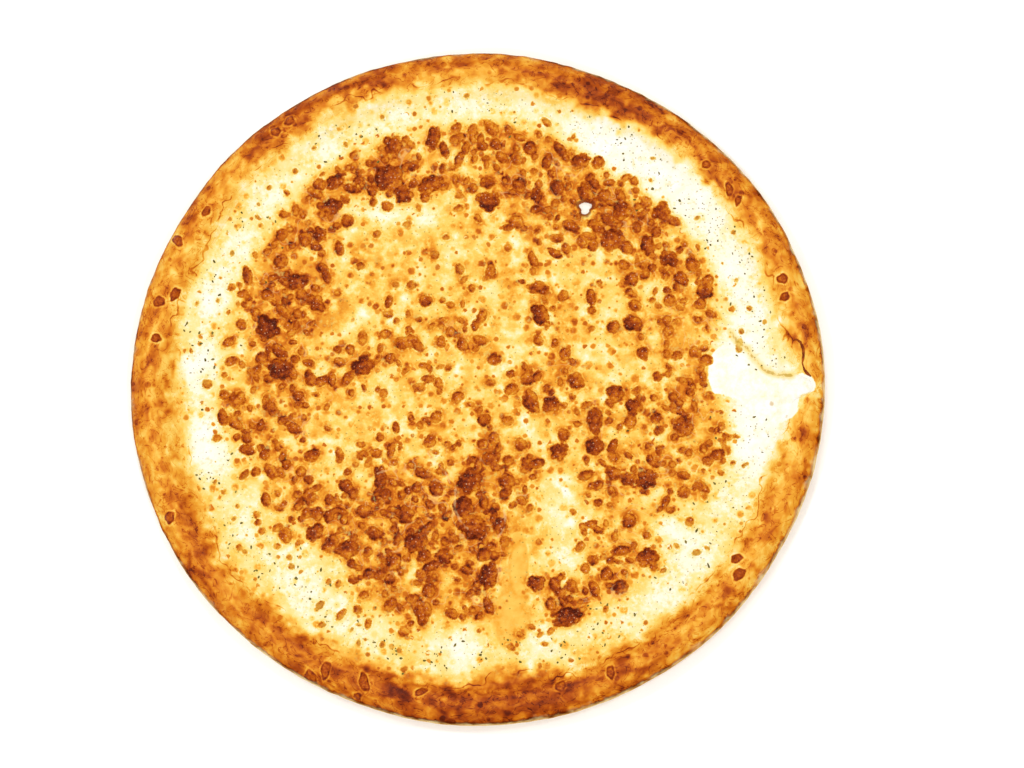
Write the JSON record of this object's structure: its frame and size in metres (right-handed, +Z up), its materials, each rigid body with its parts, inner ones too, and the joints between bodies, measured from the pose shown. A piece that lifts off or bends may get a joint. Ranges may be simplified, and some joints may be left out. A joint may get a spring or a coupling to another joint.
{
  "type": "cheese pizza",
  "caption": "Whole round cheese pizza with a raised golden rim and browned, blistered melted cheese over a flat dough base.",
  "frame": {"origin": "centre of the bounding box on the flat underside, where the pizza rests", "axes": "+Z up out of the cheese, +Y towards the far side of the pizza as pictured, +X towards the side where the white tongue of cheese runs over the rim"},
  "size_m": [0.3086, 0.2998, 0.0161],
  "materials": {
    "crust": "baked dough, golden brown with darker patches, slightly oily",
    "cheese": "melted cheese, yellow with a creamy white border and glossy brown blisters"
  },
  "bodies": {
    "root": {"crust": "crust", "cheese": "cheese"}
  },
  "joints": []
}
